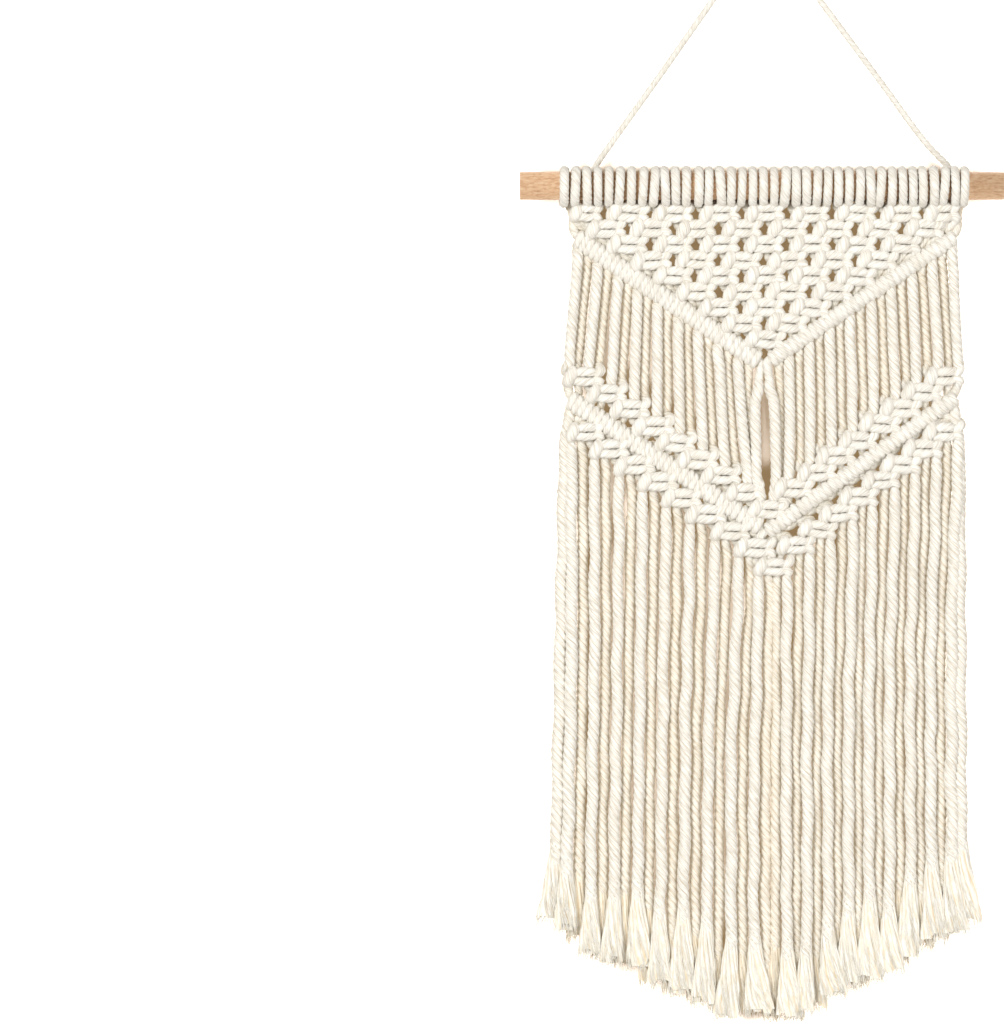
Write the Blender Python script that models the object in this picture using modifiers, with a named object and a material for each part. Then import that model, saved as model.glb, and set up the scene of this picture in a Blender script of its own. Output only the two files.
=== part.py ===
# Macrame wall hanging on a wooden dowel.
# Lengths here are millimetres, and MM turns them into Blender's metres. +Z is up and the front faces -Y.
# The origin is the underside of the hanging cord's bend, where it lies over its hook.
import math

import bmesh
import bpy
from mathutils import Vector

MM = 0.001
FIT_GAP = 0.3  # left between pieces that touch

# The dowel
DOWEL_DIAMETER = 12.0
DOWEL_LENGTH = 208.0
DOWEL_X = -1.0
DOWEL_Z = -108.8
DOWEL_SIDES = 20
DOWEL_EDGE = 0.7

# The cords: 19 are folded over the dowel in lark's heads, so 38 ends hang
CORD_ENDS = 38
CORD_WIDTH = 3.8
CORD_PITCH = 4.65
PANEL_Y = 2.0  # middle plane of the knotted panel, a little behind the dowel's axis
STAGGER = 0.35  # odd cords hang this far forward of the middle plane, even ones this far back

# Lark's heads: a wrap for each end, with a loop behind that joins two wraps
HEAD_RADIUS = 9.2  # outside of a wrap
HEAD_SIDES = 8
HEAD_FOOT = 4.2  # width of a wrap on the dowel
HEAD_CROWN = 2.7  # width of its rounded top
LOOP_IN, LOOP_OUT = 8.2, 10.6  # the loops lie this far behind the dowel's axis
LOOP_HALF_IN, LOOP_HALF_OUT = 2.6, 2.0  # half their height, in front and behind
STRAP_THICK, STRAP_HALF = 1.3, 1.5  # the loops that stand out over the hanging cord
STRAP_ROOT = 2.0  # length of their legs
LEFT_PAIR = 2  # the lark's heads whose loops hold the hanging cord
RIGHT_PAIR = 19

# Square knots: two horizontal ridges in front, one behind
KNOT_WIDTH = 14.8
KNOT_HEIGHT = 5.8
KNOT_DEPTH = 8.0
KNOT_EDGE_DEPTH = 3.9  # where the cords go in and come out
KNOT_ROUND = 0.6  # the ridges end this far short of the sides
KNOT_RIDGE = 0.52  # how far the ridges stand from the knot's middle, as a share of half its height
KNOT_GROOVE = 0.6  # depth left between the ridges, as a share of the knot's
CORD_SLOTS = ((0.5, 3.6), (4.3, 7.4))  # where the two cords of a half leave, from the knot's middle

# The net: rows of nine to one knots, each knot hung between two of the row above
KNOT_ROWS = 9
KNOT_PITCH = 19.4
KNOT_ROW_STEP = 6.6
FIRST_KNOT_Z = -122.4
PAIR_SLOT = (KNOT_PITCH / 2 - KNOT_WIDTH / 2, KNOT_WIDTH / 2)  # where two cords pass to the next knot below
OUTER_CORD = 3.1  # width of the outermost cords beside the net

# Hitched bars: two shallow Vs, with a ridge for each double half hitch over the holding cord
HITCHES = 18
HITCH_PITCH = 4.6
BAR_START = 85.4  # where the first hitch begins, from the middle
BAR_END = 88.9
BAR_HEIGHT = 8.3  # measured upright
BAR_DEPTH = 7.6
BAR_EDGE_DEPTH = 3.9
BAR_VALLEY = 0.8  # between two hitches, as a share of the ridge
BAR_TIP = 0.62  # at the bar's ends
UPPER_BAR = {"middle_z": -188.0, "slope": 0.68}
LOWER_BAR = {"middle_z": -256.5, "slope": 0.675}

# Chevrons of square knots beside the lower bar, from the outer knots to the one in the middle
CHEVRON_KNOTS = 8
UPPER_CHEVRON = {"outer": (77.1, -190.9), "inner": (9.9, -236.8), "middle_z": -243.6}
LOWER_CHEVRON = {"outer": (77.0, -217.4), "inner": (8.4, -263.6), "middle_z": -271.8}
FREE_SLOT = (8.1, 11.2)  # the outermost end hangs beside the first knot of the lower chevron
BAND_SPREAD = 9.0  # the open band's cords reach their even pitch this far below the upper bar
BAND_LEAN = 0.3  # of the way to their knots, where they start to gather again

# The fringe
STUB_WIDTH, STUB_DEPTH, STUB_HEIGHT = 3.0, 3.6, 0.3  # the cords between the lower bar and the fringe's knots
FRINGE_PITCH = 4.67
FRINGE_WIDTH = 4.2  # the ends loosen a little where nothing holds them
FRINGE_EVEN = 16.0  # this far below their knots the ends hang at an even pitch
FRINGE_OUTER_Z = -429.0
FRINGE_MIDDLE_Z = -468.0
FRINGE_SPREAD = 1.02
LAYER_Y = 2.3  # the frayed tips of neighbouring ends lie this far in front and behind
FRAY_LENGTH = 19.0
FRAY_WIDTH = 8.2
FRAY_DEPTH = 3.0
FRAY_WIDEST = 0.4  # of the frayed length, from the tip
FRAY_TIP = (0.85, 0.6)  # width and depth at the very end, as shares of the largest

# The hanging cord, a short three-ply rope
HANGER_RADIUS = 1.5
HANGER_GROOVE = 1.12  # radius at the grooves between the plies
HANGER_LAY = 12.0  # length of one full turn of a ply
HANGER_STEP = 1.6
HANGER_KNOT = 1.9  # size of the stopper knots against the rope
HANGER_CLEAR = 0.1  # more than the fit gap, for the bends of its route
HANGER_BACK = HEAD_RADIUS + HANGER_RADIUS + FIT_GAP + HANGER_CLEAR

COTTON = (0.90, 0.83, 0.70, 1.0)
ROPE = (0.86, 0.80, 0.70, 1.0)
FRINGE_COTTON = (0.88, 0.80, 0.65, 1.0)
BEECH = (0.72, 0.44, 0.25, 1.0)


class Cordwork:
    """A closed mesh grown from rings of points.

    An open ring is a port, where a cord leaves a knot, bar or wrap. Four-point rings run left front, right
    front, right back, left back.
    """

    def __init__(self):
        self.mesh = bmesh.new()

    def ring(self, points):
        return [self.mesh.verts.new(Vector(point) * MM) for point in points]

    def face(self, *corners):
        self.mesh.faces.new(corners)

    def bridge(self, ring, following):
        for k in range(len(ring)):
            self.face(ring[k - 1], ring[k], following[k], following[k - 1])

    def close(self, ring):
        self.face(*ring)

    def run(self, *rings):
        """Joins rings in turn, the first and the last of which may be ports."""
        for ring, following in zip(rings, rings[1:]):
            self.bridge(ring, following)

    def cord(self, top, stops, foot=None):
        """A cord from a port through (x, y, z, width, depth) stops, to another port or a closed end."""
        rings = [top] + [self.ring(square_section(*stop)) for stop in stops]
        if foot is None:
            self.close(rings[-1])
        else:
            rings.append(foot)
        self.run(*rings)

    def finish(self, name, collection, material):
        bmesh.ops.recalc_face_normals(self.mesh, faces=self.mesh.faces)
        bmesh.ops.triangulate(self.mesh, faces=self.mesh.faces)
        data = bpy.data.meshes.new(name)
        self.mesh.to_mesh(data)
        self.mesh.free()
        obj = bpy.data.objects.new(name, data)
        obj.data.materials.append(material)
        collection.objects.link(obj)
        return obj


def clear_scene():
    for obj in list(bpy.data.objects):
        bpy.data.objects.remove(obj, do_unlink=True)


def principled(name, color, roughness):
    material = bpy.data.materials.new(name)
    material.use_nodes = True
    shader = material.node_tree.nodes["Principled BSDF"]
    shader.inputs["Base Color"].default_value = color
    shader.inputs["Roughness"].default_value = roughness
    shader.inputs["Metallic"].default_value = 0.0
    return material


def square_section(x, y, z, width, depth):
    return [
        (x - width / 2, y - depth / 2, z),
        (x + width / 2, y - depth / 2, z),
        (x + width / 2, y + depth / 2, z),
        (x - width / 2, y + depth / 2, z),
    ]


def cord_x(number, pitch=CORD_PITCH):
    return (number - (CORD_ENDS + 1) / 2) * pitch


def bar_z(bar, x):
    return bar["middle_z"] + bar["slope"] * abs(x)


def middle_of(port):
    """The (x, y, z) middle of a port, in millimetres."""
    return sum((vertex.co for vertex in port), Vector()) / len(port) / MM


def slots(side, kind):
    """The x ranges in one half of a knot's upper or lower face where cords pass; side is -1 or 1."""
    ranges = {"cords": CORD_SLOTS, "pair": (PAIR_SLOT,), "cords and free": (*CORD_SLOTS, FREE_SLOT)}[kind]
    return sorted(tuple(sorted((near * side, far * side))) for near, far in ranges)


def square_knot(work, x, z, top, bottom, reach=(KNOT_WIDTH / 2, KNOT_WIDTH / 2)):
    """A square knot. top and bottom are the (left, right) kinds of its slots. Returns its ports, left first."""
    left, right = x - reach[0], x + reach[1]
    half, edge, deep = KNOT_HEIGHT / 2, KNOT_EDGE_DEPTH / 2, KNOT_DEPTH / 2

    def ridge(out, rise):
        y = PANEL_Y + out
        return work.ring([(left + KNOT_ROUND, y, z + rise), (right - KNOT_ROUND, y, z + rise)])

    def lip(kinds, rise):
        ranges = [(x + a, x + b) for side, kind in zip((-1, 1), kinds) for a, b in slots(side, kind)]
        places = sorted({left, right, *(end for pair in ranges for end in pair)})
        front = work.ring([(place, PANEL_Y - edge, z + rise) for place in places])
        back = work.ring([(place, PANEL_Y + edge, z + rise) for place in places])
        ports = []
        for k, span in enumerate(zip(places, places[1:])):
            quad = [front[k], front[k + 1], back[k + 1], back[k]]
            if span in ranges:
                ports.append(quad)
            else:
                work.close(quad)
        return front, back, ports

    upper_front, upper_back, upper_ports = lip(top, half)
    lower_front, lower_back, lower_ports = lip(bottom, -half)
    upper, lower = ridge(-deep, half * KNOT_RIDGE), ridge(-deep, -half * KNOT_RIDGE)
    groove, behind = ridge(-deep * KNOT_GROOVE, 0.0), ridge(deep, 0.0)
    work.face(*upper_front, *reversed(upper))
    work.face(*upper, *reversed(groove))
    work.face(*groove, *reversed(lower))
    work.face(*lower, *reversed(lower_front))
    work.face(*behind, *reversed(upper_back))
    work.face(*lower_back, *reversed(behind))
    around = (upper_back, upper_front, upper, groove, lower, lower_front, lower_back, behind)
    for end in (0, -1):
        work.face(*(row[end] for row in around))
    return upper_ports, lower_ports


def hitched_bar(work, bar, leaving):
    """A V of double half hitches. Returns the ports that its cords come in by and go out by.

    Both are keyed by (side, place): place 0 is the holding cord's outer end and HITCHES + 1 its inner end.
    Where leaving is false, no cord goes out of it: its underside is whole.
    """
    stops = [(BAR_END, BAR_TIP), (BAR_START, BAR_VALLEY)]
    for hitch in range(HITCHES):
        stops.append((BAR_START - HITCH_PITCH * (hitch + 0.5), 1.0))
        stops.append((BAR_START - HITCH_PITCH * (hitch + 1), BAR_VALLEY))
    places = [(-x, size) for x, size in stops] + [(0.0, 1.0)] + [(x, size) for x, size in reversed(stops)]
    sections = []
    for x, size in places:
        z, half = bar_z(bar, x), size * BAR_HEIGHT / 2
        edge, deep = size * BAR_EDGE_DEPTH / 2, size * BAR_DEPTH / 2
        outline = ((-edge, half), (-deep, 0.0), (-edge, -half), (edge, -half), (deep, 0.0), (edge, half))
        sections.append(work.ring([(x, PANEL_Y + out, z + rise) for out, rise in outline]))
    work.close(sections[0])
    work.close(sections[-1])
    coming, going = {}, {}
    last = len(sections) - 2
    for k, (a, b) in enumerate(zip(sections, sections[1:])):
        side, step = (-1, k) if k <= last // 2 else (1, last - k)
        place = HITCHES + 1 if step > 2 * HITCHES else step // 2
        key = (side, place)
        is_port = step % 2 == 0 or place > HITCHES
        opens_up = is_port and place <= HITCHES
        opens_down = is_port and place > 0 and leaving
        for point in range(6):
            quad = (a[point - 1], b[point - 1], b[point], a[point])
            if point == 0 and opens_up:
                coming[key] = [a[0], b[0], b[5], a[5]]
            elif point == 3 and opens_down:
                going[key] = [a[2], b[2], b[3], a[3]]
            else:
                work.face(*quad)
    return coming, going


def lark_head(work, pair):
    """Two wraps around the dowel and the loop that joins them behind. Returns the ports of their cords."""
    inner = (DOWEL_DIAMETER / 2 + FIT_GAP) / math.cos(math.pi / HEAD_SIDES)
    back_side = HEAD_SIDES // 4  # the side of the wrap that faces straight back
    foot_side = HEAD_SIDES // 2
    holds_rope = pair in (LEFT_PAIR, RIGHT_PAIR)
    ports, joints = [], []
    for number, towards in ((2 * pair - 1, 1), (2 * pair, -1)):
        x = cord_x(number)
        foot, crown_half = HEAD_FOOT / 2, HEAD_CROWN / 2
        profile = ((-foot, inner), (foot, inner), (crown_half, HEAD_RADIUS), (-crown_half, HEAD_RADIUS))
        rings = []
        for side in range(HEAD_SIDES):
            angle = 2 * math.pi * (side - 0.5) / HEAD_SIDES
            across, up = math.sin(angle), math.cos(angle)
            rings.append(work.ring([(x + w, r * across, DOWEL_Z + r * up) for w, r in profile]))
        for side in range(HEAD_SIDES):
            a, b = rings[side], rings[(side + 1) % HEAD_SIDES]
            for k in range(4):
                quad = (a[k - 1], a[k], b[k], b[k - 1])
                crown, loop_flank = k == 3, k == (2 if towards > 0 else 0)
                if side == foot_side and crown:
                    ports.append([b[3], b[2], a[2], a[3]])
                elif side == back_side and (crown if holds_rope else loop_flank):
                    near, far, root = (2, 3, 1) if towards > 0 else (3, 2, 0)
                    if holds_rope:
                        joints.append([a[near], b[near], b[far], a[far]])
                    else:
                        joints.append([a[root], b[root], b[near], a[near]])
                else:
                    work.face(*quad)
    middle = (cord_x(2 * pair - 1) + cord_x(2 * pair)) / 2
    if holds_rope:
        work.run(joints[0], *rope_strap(work, middle), joints[1])
    else:
        corners = ((LOOP_IN, LOOP_HALF_IN), (LOOP_OUT, LOOP_HALF_OUT))
        outline = [corners[0], (LOOP_IN, -LOOP_HALF_IN), (LOOP_OUT, -LOOP_HALF_OUT), corners[1]]
        work.run(joints[0], work.ring([(middle, y, DOWEL_Z + z) for y, z in outline]), joints[1])
    return ports


def rope_strap(work, middle):
    """The loop of a lark's head that stands out over the hanging cord, as rings from left wrap to right."""
    inside = HANGER_BACK + HANGER_RADIUS + FIT_GAP + HANGER_CLEAR
    clear = HANGER_RADIUS + 2 * FIT_GAP
    rings = []
    for side, out in ((-1, inside - STRAP_ROOT), (-1, inside), (1, inside), (1, inside - STRAP_ROOT)):
        near = (middle + side * clear, out)
        far = (middle + side * (clear + STRAP_THICK), out + (STRAP_THICK if out == inside else 0.0))
        outline = ((near, STRAP_HALF), (near, -STRAP_HALF), (far, -STRAP_HALF), (far, STRAP_HALF))
        rings.append(work.ring([(x, y, DOWEL_Z + rise) for (x, y), rise in outline]))
    return rings


def chevron(table):
    """The places of a chevron's knots, left to right, as (x, z)."""
    (x0, z0), (x1, z1) = table["outer"], table["inner"]
    places = []
    for k in range(CHEVRON_KNOTS):
        share = k / (CHEVRON_KNOTS - 1)
        places.append((x0 + (x1 - x0) * share, z0 + (z1 - z0) * share))
    return [(-x, z) for x, z in places] + [(0.0, table["middle_z"])] + places[::-1]


def chevron_knots(work, table, outer_kind="cords"):
    """A chevron of square knots, each passing two cords to its inner neighbour.

    Returns the ports above and below, keyed by (side, place of the cord counted from that edge).
    """
    above, below, passing = {}, {}, []
    places = chevron(table)
    count = len(places)
    for k, (x, z) in enumerate(places):
        side = (k > CHEVRON_KNOTS) - (k < CHEVRON_KNOTS)
        near = min(k, count - 1 - k)  # 0 for an outer knot
        first = outer_kind if near == 0 else "cords"
        far_reach = FREE_SLOT[1] if first != "cords" else KNOT_WIDTH / 2
        outer_top = first if near == 0 else "pair"
        if side < 0:
            kinds, reach = ((outer_top, "cords"), (first, "pair")), (far_reach, KNOT_WIDTH / 2)
        elif side > 0:
            kinds, reach = (("cords", outer_top), ("pair", first)), (KNOT_WIDTH / 2, far_reach)
        else:
            kinds, reach = (("pair", "pair"), ("cords", "cords")), (KNOT_WIDTH / 2, KNOT_WIDTH / 2)
        top, bottom = square_knot(work, x, z, *kinds, reach)
        passing.append((top, bottom))
        outer_in = list(top) if side <= 0 else list(reversed(top))
        outer_out = list(bottom) if side <= 0 else list(reversed(bottom))
        place = 2 * (near + 1)  # the outermost cord of this knot
        if side == 0:
            for offset in (0, 1):
                below[(-1, place + offset)] = bottom[offset]
                below[(1, place + offset)] = bottom[3 - offset]
            continue
        if near == 0 and first != "cords":
            above[(side, place - 1)], below[(side, place - 1)] = outer_in.pop(0), outer_out.pop(0)
        for offset in (0, 1):
            below[(side, place + offset)] = outer_out[offset]
        for offset in range(4) if near == 0 else (2, 3):
            above[(side, place + offset)] = outer_in[offset if near == 0 else offset - 1]
    for k in range(CHEVRON_KNOTS):
        work.bridge(passing[k][1][-1], passing[k + 1][0][0])
        work.bridge(passing[count - 1 - k][1][0], passing[count - 2 - k][0][-1])
    return above, below


def stagger_y(number):
    return PANEL_Y + STAGGER * (-1 if number % 2 else 1)


def knotted_net(work, heads, bar):
    """Nine rows of square knots that gather the cords from the heads and hand them in twos to the bar."""
    row_above = None
    for row in range(1, KNOT_ROWS + 1):
        knots = KNOT_ROWS + 1 - row
        z = FIRST_KNOT_Z - (row - 1) * KNOT_ROW_STEP
        ports = []
        for k in range(knots):
            x = (k - (knots - 1) / 2) * KNOT_PITCH
            top = ("cords", "cords") if row == 1 else ("pair", "pair")
            bottom = ("cords" if k == 0 else "pair", "cords" if k == knots - 1 else "pair")
            ports.append(square_knot(work, x, z, top, bottom))
            if row == 1:
                for place in range(4):
                    work.bridge(heads[4 * k + 1 + place], ports[k][0][place])
            else:
                work.bridge(row_above[k][1][-1], ports[k][0][0])
                work.bridge(row_above[k + 1][1][0], ports[k][0][1])
        for offset in (0, 1):
            work.bridge(ports[0][1][offset], bar[(-1, 2 * row - 1 + offset)])
            work.bridge(ports[-1][1][-1 - offset], bar[(1, 2 * row - 1 + offset)])
        row_above = ports


def knotted_panel(parts, material):
    work = Cordwork()
    heads = [port for pair in range(1, CORD_ENDS // 2 + 1) for port in lark_head(work, pair)]
    coming, going = hitched_bar(work, UPPER_BAR, leaving=True)
    knotted_net(work, heads, coming)
    beside = (BAR_START + BAR_END) / 2
    for side, head in ((-1, heads[0]), (1, heads[-1])):
        stop = (side * beside, PANEL_Y / 2, FIRST_KNOT_Z + KNOT_HEIGHT / 2 + FIT_GAP, OUTER_CORD, CORD_WIDTH)
        work.cord(head, [stop], coming[(side, 0)])

    lower_in, _ = hitched_bar(work, LOWER_BAR, leaving=False)
    above, below = chevron_knots(work, UPPER_CHEVRON)
    for side in (-1, 1):
        for place in range(1, HITCHES + 2):
            top = going[(side, place)]
            foot = lower_in[(side, 0)] if place == 1 else above[(side, place)]
            hang_x, y = side * -cord_x(place), stagger_y(place)
            top_z, foot_x, foot_z = middle_of(top).z, middle_of(foot).x, middle_of(foot).z
            stops = [
                (hang_x, y, top_z - BAND_SPREAD, CORD_WIDTH, CORD_WIDTH),
                (hang_x + (foot_x - hang_x) * BAND_LEAN, y, foot_z + BAND_SPREAD, CORD_WIDTH, CORD_WIDTH),
            ]
            work.cord(top, stops, foot)
        for place in range(2, HITCHES + 2):
            work.bridge(below[(side, place)], lower_in[(side, place - 1)])
    return work.finish("knotted_panel", parts, material)


def fringe(parts, material):
    """The knotted strip under the lower bar, and the 38 cord ends that hang from it to their frayed tips."""
    work = Cordwork()
    above, below = chevron_knots(work, LOWER_CHEVRON, "cords and free")
    for port in above.values():
        x, y, z = middle_of(port)
        inner_x = abs(x) - (CORD_SLOTS[0][1] - CORD_SLOTS[0][0]) / 2
        bar_bottom = bar_z(LOWER_BAR, inner_x) - BAR_HEIGHT / 2
        work.cord(port, [(x, y, max(bar_bottom - 1.2 * FIT_GAP, z + STUB_HEIGHT), STUB_WIDTH, STUB_DEPTH)])
    for (side, place), port in below.items():
        number = place if side < 0 else CORD_ENDS + 1 - place
        even_x = cord_x(number, FRINGE_PITCH)
        tip_share = 1 - abs(even_x) / (CORD_ENDS / 2 * FRINGE_PITCH)
        tip_z = FRINGE_OUTER_Z + (FRINGE_MIDDLE_Z - FRINGE_OUTER_Z) * tip_share
        tip_x = even_x * FRINGE_SPREAD
        layer = LAYER_Y * (-1 if number % 2 else 1)
        start_z = middle_of(port).z
        stops = [
            (even_x, stagger_y(number), start_z - FRINGE_EVEN, FRINGE_WIDTH, CORD_WIDTH),
            (tip_x, PANEL_Y + layer, tip_z + FRAY_LENGTH, FRINGE_WIDTH, CORD_WIDTH),
            (tip_x, PANEL_Y + layer, tip_z + FRAY_LENGTH * FRAY_WIDEST, FRAY_WIDTH, FRAY_DEPTH),
            (tip_x, PANEL_Y + layer, tip_z, FRAY_WIDTH * FRAY_TIP[0], FRAY_DEPTH * FRAY_TIP[1]),
        ]
        work.cord(port, stops)
    return work.finish("fringe", parts, material)


def dowel(parts, material):
    bpy.ops.mesh.primitive_cylinder_add(
        vertices=DOWEL_SIDES,
        radius=DOWEL_DIAMETER / 2 * MM,
        depth=DOWEL_LENGTH * MM,
        location=Vector((DOWEL_X, 0, DOWEL_Z)) * MM,
        rotation=(0, math.pi / 2, 0),
    )
    rod = bpy.context.object
    rod.name = "dowel"
    for owner in list(rod.users_collection):
        owner.objects.unlink(rod)
    parts.objects.link(rod)
    rod.data.materials.append(material)
    rod.data.shade_smooth()
    rod.data.set_sharp_from_angle(angle=math.radians(40))
    edge = rod.modifiers.new("eased ends", "BEVEL")
    edge.width = DOWEL_EDGE * MM
    edge.segments = 2
    edge.limit_method = "ANGLE"
    edge.angle_limit = math.radians(60)
    return rod


def hanger_route():
    """The rope's centre line: from behind the left heads up over the hook and down behind the right heads."""
    left = (cord_x(2 * LEFT_PAIR - 1) + cord_x(2 * LEFT_PAIR)) / 2
    right = (cord_x(2 * RIGHT_PAIR - 1) + cord_x(2 * RIGHT_PAIR)) / 2
    back = HANGER_BACK
    return [
        (left, back + 0.5, DOWEL_Z - 8.6),
        (left, back + 0.5, DOWEL_Z - 6.0),
        (left, back + 0.2, DOWEL_Z - 2.6),
        (left, back, DOWEL_Z + 0.8),
        (left + 0.5, back - 0.6, DOWEL_Z + 4.6),
        (left + 2.0, back - 2.9, DOWEL_Z + 8.8),
        (left + 9.6, 7.0, -89.0),
        (-45.4, 4.9, -62.0),
        (-22.6, 2.4, -29.6),
        (-7.8, 0.8, -8.6),
        (-2.6, 0.2, -0.6),
        (0.0, 0.0, HANGER_RADIUS),
        (2.7, 0.2, -0.6),
        (8.2, 0.8, -8.2),
        (24.4, 2.4, -29.2),
        (49.6, 4.9, -62.6),
        (right - 13.6, 7.1, -90.0),
        (right - 3.9, back - 2.6, DOWEL_Z + 8.8),
        (right - 0.9, back - 0.4, DOWEL_Z + 4.8),
        (right, back, DOWEL_Z + 0.8),
        (right, back + 0.2, DOWEL_Z - 2.6),
        (right, back + 0.5, DOWEL_Z - 6.0),
        (right, back + 0.5, DOWEL_Z - 8.6),
    ]


def smooth_line(route, step):
    """Even points on a smooth curve through the route's own points."""
    points = [Vector(p) for p in route]
    points = [2 * points[0] - points[1], *points, 2 * points[-1] - points[-2]]
    fine = []
    for a, b, c, d in zip(points, points[1:], points[2:], points[3:]):
        for k in range(16):
            t = k / 16
            bend = (2 * a - 5 * b + 4 * c - d) * t**2 + (3 * b - a - 3 * c + d) * t**3
            fine.append(0.5 * (2 * b + (c - a) * t + bend))
    fine.append(points[-2])
    total = sum((b - a).length for a, b in zip(fine, fine[1:]))
    count = round(total / step)
    even, walked, target = [fine[0]], 0.0, 1
    for a, b in zip(fine, fine[1:]):
        run = (b - a).length
        while target < count and walked + run >= total * target / count:
            even.append(a + (b - a) * ((total * target / count - walked) / run))
            target += 1
        walked += run
    return even + [fine[-1]]


def hanging_cord(parts, material):
    """Three plies twisted together, six points a ring, with a stopper knot at each end."""
    work = Cordwork()
    line = smooth_line(hanger_route(), HANGER_STEP)
    rings = []
    for k, middle in enumerate(line):
        run = (line[min(k + 1, len(line) - 1)] - line[max(k - 1, 0)]).normalized()
        side = run.cross(Vector((0, 1, 0))).normalized()
        front = side.cross(run)
        from_end = min(k, len(line) - 1 - k) * HANGER_STEP
        size = HANGER_KNOT if 1.0 < from_end < 4.0 else 1.0
        turn = 2 * math.pi * (k * HANGER_STEP) / HANGER_LAY
        points = []
        for point in range(6):
            radius = size * (HANGER_RADIUS if point % 2 else HANGER_GROOVE)
            angle = turn + math.pi * point / 3
            points.append(middle + side * radius * math.cos(angle) + front * radius * math.sin(angle))
        rings.append(work.ring(points))
    work.run(*rings)
    work.close(rings[0])
    work.close(rings[-1])
    print(f"hanging cord: {HANGER_STEP * (len(line) - 1):.0f} mm along its centre line")
    return work.finish("hanging_cord", parts, material)


def build():
    clear_scene()
    parts = bpy.data.collections.new("macrame_wall_hanging")
    bpy.context.scene.collection.children.link(parts)
    dowel(parts, principled("beech", BEECH, 0.55))
    hanging_cord(parts, principled("cotton_rope", ROPE, 0.9))
    knotted_panel(parts, principled("knotted_cotton", COTTON, 0.95))
    fringe(parts, principled("fringe_cotton", FRINGE_COTTON, 0.95))


build()
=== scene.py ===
# Looks for the macrame wall hanging: every cord is laid as its own rope, from the fold over the dowel,
# through its knots and hitches, to its frayed tip. The hanging's lengths are in mm and turned to metres where
# a mesh is made, and the studio's are in metres. +Z is up and the front faces -Y.
import math

import bpy
import numpy as np
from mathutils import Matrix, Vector


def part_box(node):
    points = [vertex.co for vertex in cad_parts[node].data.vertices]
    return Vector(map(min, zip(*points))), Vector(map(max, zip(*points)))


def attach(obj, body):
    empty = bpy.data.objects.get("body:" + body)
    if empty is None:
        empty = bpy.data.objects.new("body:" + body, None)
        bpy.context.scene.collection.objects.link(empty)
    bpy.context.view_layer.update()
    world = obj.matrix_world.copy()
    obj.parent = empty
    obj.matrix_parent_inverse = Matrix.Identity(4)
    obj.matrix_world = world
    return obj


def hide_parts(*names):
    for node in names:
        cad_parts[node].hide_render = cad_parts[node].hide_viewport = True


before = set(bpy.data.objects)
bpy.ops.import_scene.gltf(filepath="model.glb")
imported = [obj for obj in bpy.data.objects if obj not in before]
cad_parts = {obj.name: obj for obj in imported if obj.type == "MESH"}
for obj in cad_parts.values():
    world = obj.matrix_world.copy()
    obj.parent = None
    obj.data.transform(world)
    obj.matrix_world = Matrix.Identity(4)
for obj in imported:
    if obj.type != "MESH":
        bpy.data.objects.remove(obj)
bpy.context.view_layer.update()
mm = 0.001
rng = np.random.default_rng(41)

# Where things hang, from the frame
dowelLow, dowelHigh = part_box("dowel")
dowelRadius = (dowelHigh.z - dowelLow.z) / 2 / mm
dowelZ = (dowelHigh.z + dowelLow.z) / 2 / mm
dowelEnds = (dowelLow.x / mm, dowelHigh.x / mm)
panelY = 2.0  # middle plane of the knots


def linear(hexColour):
    values = [int(hexColour[k:k + 2], 16) / 255 for k in (1, 3, 5)]
    return [v / 12.92 if v <= 0.04045 else ((v + 0.055) / 1.055) ** 2.4 for v in values] + [1.0]


def addNode(tree, kind, links=None, stops=(), **settings):
    # links gives each input either another node's output or a plain value
    node = tree.nodes.new(kind)
    for name, value in settings.items():
        setattr(node, name, value)
    for k, (position, colour) in enumerate(stops):
        elements = node.color_ramp.elements
        element = elements[k] if k < 2 else elements.new(position)
        element.position = position
        element.color = linear(colour)
    for socket, source in (links or {}).items():
        if isinstance(source, bpy.types.NodeSocket):
            tree.links.new(source, node.inputs[socket])
        else:
            node.inputs[socket].default_value = source
    return node


def newMaterial(name):
    material = bpy.data.materials.new(name)
    material.use_nodes = True
    return material, material.node_tree, material.node_tree.nodes["Principled BSDF"]


def addObject(name, data):
    thing = bpy.data.objects.new(name, data)
    bpy.context.scene.collection.objects.link(thing)
    return thing


def ringQuads(rings, count):
    # the faces between rings of points that follow each other
    start = np.arange(rings - 1)[:, None] * count
    k = np.arange(count)[None, :]
    after = (k + 1) % count
    quads = np.stack([start + k, start + after, start + count + after, start + count + k], axis=2)
    return quads.reshape(-1, 4)


# Rope making: a path of rows becomes a twisted tube

rope = {
    "plies": 4,
    "pointsAround": 16,
    "ringStep": 1.3,
    "lay": 11.2,  # one full turn of a ply
    "groove": 0.165,  # depth between plies, as a share of the radius
    "shadeFromY": 3.2,  # from here back the cotton gets its full painted warm shade
}

twist = {
    "fineStep": 0.3,  # of the curve that the rings are spaced along
    "bendWindow": 9,  # fine steps that a bend is averaged over
    "crowding": 2.2,  # rings stand closer where the path bends
    "crowdingLimit": 0.75,
    "looseLay": 0.3,  # a loose cord is twisted this share longer
    "looseGroove": 0.2,  # and its grooves are this share deeper
    "freeFrom": 0.2,  # from this looseness on, nothing presses on the plies
    "pressedGroove": 0.75,  # knots press the grooves to this share of their depth
    "pressedShade": 0.8,  # and to this share of their painted warm shade
    "uneven": 0.018,  # of the radius
    "shadeFade": 3.2,  # the painted shade fades out over this far in front of shadeFromY
    "ownTone": 0.15,  # the share of the tone that differs from cord to cord
    "ownTurn": 6.0,  # the plies start turned by up to this, in radians
    "ownFibres": 700.0,  # and the fibres shifted along the cord by up to this
    "straightRadius": 2.0,  # of the straight cord that the fibres are drawn on
}


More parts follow.
